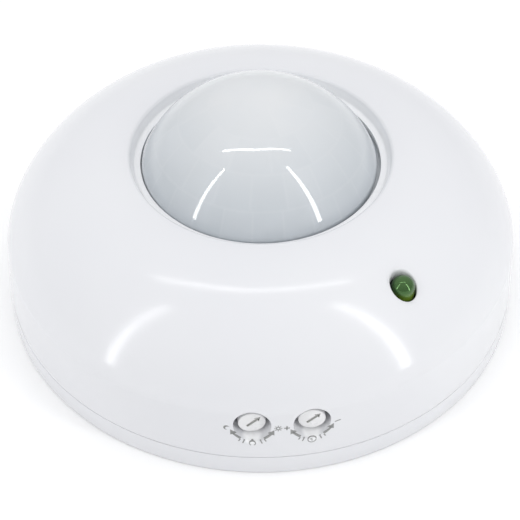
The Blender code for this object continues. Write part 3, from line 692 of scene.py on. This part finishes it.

# %% [markdown]
# ## The indicator
# A standard 5 mm lamp in green epoxy stands in its hole with its round top just above the
# shell. It has a straight body, a half-round top, a flange low down and two legs. The epoxy
# is dark at the top; lower down it is painted a lighter yellow-green, a painted glow of the
# light that passes through the epoxy.

# %% Indicator lamp
LED_R, LED_TOP = 2.45 * MM, 31.65 * MM
BRIM_R, BRIM_LOW, BRIM_TOP = 2.9 * MM, 25.3 * MM, 26.3 * MM
LEG_X, LEG_R, LEG_LOW, LEG_LENGTH = 1.27 * MM, 0.25 * MM, 21.4 * MM, 4.4 * MM
lamp_section = [(0.0, LED_TOP + LED_R)]
for degrees in range(6, 91, 6):
    angle = math.radians(degrees)
    lamp_section.append((LED_R * math.sin(angle), LED_TOP + LED_R * math.cos(angle)))
lamp_section += [(LED_R, BRIM_TOP), (BRIM_R, BRIM_TOP), (BRIM_R, BRIM_LOW), (0, BRIM_LOW)]
lamp = spin_part("indicator_lamp", lamp_section, steps=64)
round_ring(lamp, BRIM_R, BRIM_TOP, 0.15 * MM, 2)
lamp.location = LED_PLACE
settle(lamp)
for x in (-LEG_X, LEG_X):
    foot = LED_PLACE + Vector((x, 0, LEG_LOW))
    boolean(lamp, "UNION", pin(LEG_R, foot, foot + Vector((0, 0, LEG_LENGTH)), 12))
smooth(lamp, 40)
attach(lamp, "head")
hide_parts("indicator_led")


def epoxy_finish():
    made, tree, shader = blank("led_green_finish")
    place = object_place(tree)
    depth = between(tree, cloud(tree, 500.0, place=place), 0.0, 1.0)
    colours = blend_colours(tree, depth, (0.004, 0.022, 0.002), (0.008, 0.032, 0.004))
    # Painted glow: lower down the epoxy is painted a lighter yellow-green, standing in for light
    # passing through it.
    low = ramp(tree, axes(tree, place)["Z"], LED_TOP + 0.4 * MM, LED_TOP - 1.4 * MM)
    colours = blend_colours(tree, low, colours, (0.10, 0.16, 0.01))
    tree.links.new(colours, shader.inputs["Base Color"])
    shader.inputs["Roughness"].default_value = 0.04
    shader.inputs["IOR"].default_value = 2.0
    shader.inputs["Specular Tint"].default_value = (0.56, 1.0, 0.43, 1)
    bump(tree, shader, cloud(tree, 1200.0, place=place), 0.1, 0.002 * MM)
    return made


lamp.data.materials.append(epoxy_finish())
print("indicator:", len(lamp.data.polygons), "faces")

# %% [markdown]
# ## The knobs
# Each trimmer has a small round knob that sits a little below the wall, with a rounded edge
# and a slot in the shape of an arrow. The slot is cut with a prism whose outline is drawn as
# an arrow, and its walls and floor are painted grey as painted shade. Both knobs rest at
# their low stop, so both arrows point the same way.

# %% Knobs with arrow slots
FACE_Y, KNOB_R, KNOB_BACK = -55.55 * MM, 2.8 * MM, -3.0 * MM
SHAFT_R, SHAFT_END = 1.5 * MM, -5.2 * MM
knob_section = [
    (0, 0),
    (KNOB_R, 0),
    (KNOB_R, KNOB_BACK),
    (SHAFT_R, KNOB_BACK),
    (SHAFT_R, SHAFT_END),
    (0, SHAFT_END),
]
SLOT_DEPTH, SLOT_TURN = 0.4 * MM, math.radians(44)
upper_half = [(2.4, 0), (1.2, 0.75), (1.35, 0.33), (-1.4, 0.33)]
lower_half = [(x, -y) for x, y in reversed(upper_half[1:])]
arrow_outline = [(x * MM, y * MM, -SLOT_DEPTH) for x, y in upper_half + lower_half]
knob_plastic = moulded("knob_white_finish", (0.73, 0.73, 0.735), 0.3, 1500.0, 0.003)
# Painted shade: the grey of the arrow slot stands in for the shade inside it.
slot_painted_shade = moulded("knob_slot_painted_shade", (0.5, 0.505, 0.49), 0.5, 1500.0, 0.004)
for knob_x, name in ((-KNOBS_X, "lux_knob"), (KNOBS_X, "time_knob")):
    knob = spin_part(name + "_turned", knob_section, steps=64)
    round_ring(knob, KNOB_R, 0, 0.22 * MM, 4)
    knob.data.materials.append(knob_plastic)
    knob.data.materials.append(slot_painted_shade)
    cutter = filled("arrow", arrow_outline, (0, 0, MM))
    cutter.rotation_euler.z = SLOT_TURN
    boolean(knob, "DIFFERENCE", settle(cutter))
    # The faces inside the slot take the painted shade.
    for face in knob.data.polygons:
        in_slot = -0.5 * MM < face.center.z < -0.02 * MM
        if in_slot and face.center.xy.length < 2.4 * MM:
            face.material_index = 1
    smooth(knob, 30)
    knob.rotation_euler.x = math.radians(90)
    knob.location = (knob_x, FACE_Y, KNOBS_Z)
    settle(knob)
    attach(knob, name)
    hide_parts(name)
    print(name, "faces:", len(knob.data.polygons))

# %% [markdown]
# ## Printed signs
# Grey arcs with arrowheads run under each well, with a sign at either end: moon and sun for
# the light level, plus and minus for the time. A lamp and a clock face stand between the
# arcs. Print is a film of ink on a curved wall, so the flat signs are extruded right through
# the wall, and only what lies in a thin skin on its outer face is kept.

# %% Flat signs
def sign(outline, centre, turn=0.0):
    """A flat shape drawn facing -Y round a centre (x, z), in mm, and turned by degrees."""
    angle = math.radians(turn)
    points = []
    for x, z in outline:
        across = x * math.cos(angle) - z * math.sin(angle) + centre[0]
        upward = x * math.sin(angle) + z * math.cos(angle) + centre[1]
        points.append((across * MM, -60 * MM, upward * MM))
    return filled("sign", points, (0, 8 * MM, 0))


def arc(radius, start, end, count):
    """Points on part of a circle."""
    turns = [math.radians(start + (end - start) * i / (count - 1)) for i in range(count)]
    return [(radius * math.cos(a), radius * math.sin(a)) for a in turns]


def band(radius, width, start, end, count=14):
    """Part of a flat ring."""
    return arc(radius + width / 2, start, end, count) + arc(radius - width / 2, end, start, count)


def bar(width, height):
    """A rectangle round the origin."""
    x, z = width / 2, height / 2
    return [(-x, -z), (x, -z), (x, z), (-x, z)]


def on_circle(radius, angle):
    """The point on a circle in one direction."""
    return arc(radius, angle, angle, 2)[0]


ARC_R, ARC_WIDTH, SIGNS_Z = 4.62, 0.5, 15.0
LEFT_ARC, RIGHT_ARC = (212, 239), (301, 328)
ARROW_TIP = [(0.0, 0.72), (-0.72, -0.62), (0.72, -0.62)]
MOON = arc(0.62, -115, 115, 12)
MOON += [(x * 0.82 - 0.27, z * 0.85) for x, z in arc(0.56, 105, -105, 12)]


def signs_round(knob_x, low_sign, high_sign, middle_signs):
    """All the signs of one knob. They run round a point just above the knob's centre."""
    here = (knob_x, SIGNS_Z)
    made = [sign(band(ARC_R, ARC_WIDTH, *ends), here) for ends in (LEFT_ARC, RIGHT_ARC)]
    tips = [(ARROW_TIP, *on_circle(ARC_R, angle), turn) for angle, turn in ((208, 28), (332, -28))]
    for outline, x, z, turn in tips + low_sign + high_sign + middle_signs:
        made.append(sign(outline, (here[0] + x, here[1] + z), turn))
    return made


LEFT, RIGHT = (-5.15, -1.1), (5.2, -1.05)
moon = [(MOON, *LEFT, 150)]
sun = [(band(0.36, 0.24, 0, 350, 20), *RIGHT, 0)]
for angle in range(0, 360, 45):
    x, z = on_circle(0.68, angle)
    sun.append((bar(0.18, 0.28), RIGHT[0] + x, RIGHT[1] + z, angle + 90))
plus = [(bar(1.15, 0.28), *LEFT, 0), (bar(0.28, 1.15), *LEFT, 0)]
minus = [(bar(1.2, 0.26), *RIGHT, 12)]
lamp_sign = [
    (band(0.62, 0.2, 120, 420, 22), 0, -5.35, 180),
    (bar(0.5, 0.2), 0, -4.55, 0),
    (bar(0.34, 0.16), 0, -4.28, 0),
]
clock_sign = [
    (band(0.85, 0.2, 0, 352, 26), 0, -5.2, 0),
    (bar(0.16, 0.62), 0, -5.4, 0),
    (bar(0.46, 0.16), -0.2, -5.14, 0),
]
ticks = []
for step, height in ((-30, 0.7), (-20, 1.1), (20, 1.1), (30, 0.7)):
    ticks.append((bar(0.26, height), *on_circle(5.2, 270 + step), step))
prints = signs_round(-KNOBS_X / MM, moon, sun, lamp_sign + ticks)
prints += signs_round(KNOBS_X / MM, plus, minus, clock_sign + ticks)
print("flat signs:", len(prints))


# %% Wrap the signs on the wall
film_height = [p for p in outside if 6 * MM < p.y < 19.5 * MM]
film_out = [(p.x + 0.025 * MM, p.y) for p in film_height]
film_in = [(p.x - 0.12 * MM, p.y) for p in reversed(film_height)]
for printed in prints:
    boolean(printed, "INTERSECT", sector(film_out + film_in, -105, -75, 20))
pick(*prints)
bpy.ops.object.join()
ink = bpy.context.object
ink.name = ink.data.name = "printed_signs"
smooth(ink, 30)
ink_grey = moulded("ink_grey_finish", (0.24, 0.245, 0.24), 0.5, 2500.0, 0.002, 0.08)
ink.data.materials.append(ink_grey)
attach(ink, "head")
print("printed signs:", len(ink.data.polygons), "faces")

# %% [markdown]
# ## Inside the head
# Everything behind the shell keeps its shape from the frame. Each part gets the finish of
# the real one: green solder mask with tracks, plated steel, brass, shrink sleeve, ceramic,
# printed bands. These are made with the same shared helper or with a pattern of their own.

# %% Board with tracks
def board_finish():
    made, tree, shader = blank("board_green_finish")
    place = object_place(tree)
    kind = {"feature": "DISTANCE_TO_EDGE", "distance": "EUCLIDEAN"}
    cells = add(tree, "ShaderNodeTexVoronoi", kind, Vector=place, Scale=260.0)
    edge = ramp(tree, cells.outputs["Distance"], 0.1, 0.14)
    tracks = blend_colours(tree, edge, (0.02, 0.09, 0.035), (0.045, 0.19, 0.08))
    tree.links.new(tracks, shader.inputs["Base Color"])
    shader.inputs["Roughness"].default_value = 0.32
    bump(tree, shader, edge, 0.5, 0.035 * MM)
    return made


# %% Sleeves and bands
def banded(name, body, band_colours, start, pitch, width, axis, roughness=0.35):
    """A body colour with painted rings along one axis of the part. Lengths are in mm."""
    made, tree, shader = blank(name)
    place = object_place(tree)
    along = axes(tree, place)[axis]
    grain = between(tree, cloud(tree, 400.0, place=place), 0.0, 1.0)
    colour = blend_colours(tree, grain, shade(body, 0.95), shade(body, 1.05))
    for i, paint in enumerate(band_colours):
        from_band = math_node(tree, "SUBTRACT", along, (start + i * pitch) * MM)
        on = math_node(tree, "LESS_THAN", math_node(tree, "ABSOLUTE", from_band), width * MM)
        colour = blend_colours(tree, on, colour, paint)
    tree.links.new(colour, shader.inputs["Base Color"])
    shader.inputs["Roughness"].default_value = roughness
    bump(tree, shader, cloud(tree, 1500.0, place=place), 0.2, 0.004 * MM)
    return made


# %% Finishes by part
steel = moulded("screw_zinc_finish", (0.60, 0.60, 0.62), 0.33, 2600.0, 0.004, 0.05, 1.0)
brass = moulded("clamp_brass_finish", (0.72, 0.55, 0.25), 0.3, 1800.0, 0.004, 0.06, 1.0)
black = moulded("moulded_black_finish", (0.025, 0.025, 0.027), 0.42, 2400.0, 0.01, 0.1)
satin = moulded("inner_white_finish", (0.78, 0.79, 0.80), 0.45, 1400.0, 0.006, 0.02)
terminal = moulded("terminal_white_finish", (0.72, 0.72, 0.70), 0.4, 1400.0, 0.006, 0.03)
can = moulded("can_steel_finish", (0.62, 0.61, 0.58), 0.24, 3000.0, 0.002, 0.04, 1.0)
window = moulded("filter_dark_finish", (0.03, 0.03, 0.035), 0.08, 800.0, 0.001, 0.1)
cell = moulded("cell_amber_finish", (0.65, 0.28, 0.12), 0.22, 1600.0, 0.006, 0.08)
relay_blue = moulded("relay_blue_finish", (0.03, 0.10, 0.30), 0.34, 1800.0, 0.006, 0.06)
film_yellow = moulded("film_yellow_finish", (0.75, 0.55, 0.08), 0.38, 1700.0, 0.008, 0.05)
varistor = moulded("varistor_blue_finish", (0.05, 0.16, 0.42), 0.28, 1300.0, 0.02, 0.06)
SLEEVE, STRIPE = (0.04, 0.04, 0.06), [(0.5, 0.5, 0.52)]
sleeve_dark = banded("sleeve_dark_finish", SLEEVE, STRIPE, -26.8, 1, 0.8, 0, 0.3)
sleeve_black = banded("sleeve_black_finish", SLEEVE, STRIPE, -22.9, 1, 0.6, 0, 0.3)
CODE = [(0.45, 0.1, 0.03), (0.02, 0.02, 0.02), (0.5, 0.2, 0.02), (0.6, 0.4, 0.06)]
resistor = banded("resistor_tan_finish", (0.62, 0.50, 0.34), CODE, -12.2, 1.7, 0.4, 0)
diode = banded("diode_black_finish", (0.03, 0.03, 0.03), [(0.6, 0.6, 0.6)], -24.8, 1, 0.4, 1)
finish_of = {
    "main_board": board_finish(),
    "pyroelectric_detector": can,
    "detector_window": window,
    "light_cell": cell,
    "relay": relay_blue,
    "dropper_capacitor": film_yellow,
    "smoothing_capacitor": sleeve_dark,
    "timing_capacitor": sleeve_black,
    "surge_varistor": varistor,
    "fusible_resistor": resistor,
    "terminal_block": terminal,
}
for name in ("rear_cover", "lens_retainer", "detector_holder", "led_spacer"):
    finish_of[name] = satin
for name in ("timer_chip", "voltage_regulator", "relay_transistor", "lux_trimmer", "time_trimmer"):
    finish_of[name] = black
for i in range(1, 5):
    finish_of[f"rectifier_diode_{i}"] = diode
for i in range(1, 4):
    for name in ("lens_screw", "case_screw", "terminal_screw"):
        finish_of[f"{name}_{i}"] = steel
    finish_of[f"terminal_clamp_{i}"] = brass
for name, finish in finish_of.items():
    part = nodes[name]
    part.data.materials.clear()
    part.data.materials.append(finish)
print("parts finished from the frame:", len(finish_of))

# %% [markdown]
# ## Floor, light and camera
# The sensor lies on a plain pale floor in a light tent. The white world gives the even
# light, a little stronger from above and behind. Long strip lamps, two in a row overhead and
# one on either side, draw the streaks that show on the lens, the shell and the indicator.

# %% Floor
pick()
FLOOR_PLACE = (0, 0, -0.05 * MM)
bpy.ops.mesh.primitive_grid_add(x_subdivisions=8, y_subdivisions=8, size=8, location=FLOOR_PLACE)
floor = bpy.context.object
floor.name = "pale_floor"
settle(floor)
floor_finish, tree, shader = blank("floor_finish")
shader.inputs["Base Color"].default_value = (0.95, 0.95, 0.95, 1)
shader.inputs["Roughness"].default_value = 0.9
shader.inputs["Specular IOR Level"].default_value = 0.0
floor.data.materials.append(floor_finish)

# %% World and lamps
world = bpy.data.worlds.new("light_tent")
bpy.context.scene.world = world
world.use_nodes = True
tent = world.node_tree.nodes["Background"]
sky = world.node_tree
way = add(sky, "ShaderNodeTexCoord").outputs["Generated"]
facing = add(sky, "ShaderNodeVectorMath", {"operation": "DOT_PRODUCT"})
sky.links.new(way, facing.inputs[0])
facing.inputs[1].default_value = Vector((0.0, 0.34, 0.94)).normalized()
rise = ramp(sky, facing.outputs["Value"], 0.0, 1.0, 0.775, 1.125)
tent.inputs["Color"].default_value = (0.985, 0.99, 1.0, 1)
sky.links.new(rise, tent.inputs["Strength"])
VIEW_TURN, VIEW_HEIGHT = math.radians(-4.4), math.radians(45.36)
SENSOR_MIDDLE = Vector((0, 0, 35 * MM))


def strip_lamp(name, start, end, width, radiance):
    """A long thin lamp between two points in mm, facing the sensor.

    The points are given in the camera's frame: X to its right, Y away from it, Z up."""
    turn = Matrix.Rotation(VIEW_TURN, 3, "Z")
    start, end = turn @ Vector(start) * MM, turn @ Vector(end) * MM
    length, centre = (end - start).length, (start + end) / 2
    data = bpy.data.lights.new(name, "AREA")
    data.shape = "RECTANGLE"
    data.size, data.size_y = length, width * MM
    data.energy = radiance * math.pi * length * width * MM
    lamp_obj = bpy.data.objects.new(name, data)
    along = (end - start).normalized()
    back = (centre - SENSOR_MIDDLE).normalized()
    side = back.cross(along).normalized()
    back = along.cross(side).normalized()
    facing_in = Matrix((along, side, back)).transposed().to_4x4()
    lamp_obj.matrix_world = Matrix.Translation(centre) @ facing_in
    bpy.context.scene.collection.objects.link(lamp_obj)
    return lamp_obj


strip_lamp("lamp_overhead_near", (-200, -22, 375), (-21, -46, 375), 12, 9.5)
strip_lamp("lamp_overhead_far", (-19, -46, 375), (165, -26, 375), 12, 7.0)
strip_lamp("lamp_left", (-487, -310, 3), (-497, -310, 840), 32, 9.0)
strip_lamp("lamp_right", (172, -138, 16), (166, -138, 399), 15, 9.0)

# %% Camera
camera = bpy.data.cameras.new("camera")
camera.lens, camera.sensor_width = 100.6, 36.0
camera.clip_start = 0.01
eye = bpy.data.objects.new("camera", camera)
bpy.context.scene.collection.objects.link(eye)
TARGET, DISTANCE = Vector((-0.14, 0, 4.43)) * MM, 337.4 * MM
level = math.cos(VIEW_HEIGHT)
away = Vector((math.sin(VIEW_TURN) * level, -math.cos(VIEW_TURN) * level, math.sin(VIEW_HEIGHT)))
eye.location = TARGET + away * DISTANCE
eye.rotation_euler = away.to_track_quat("Z", "Y").to_euler()
bpy.context.scene.camera = eye
bpy.context.scene.view_settings.view_transform = "Standard"
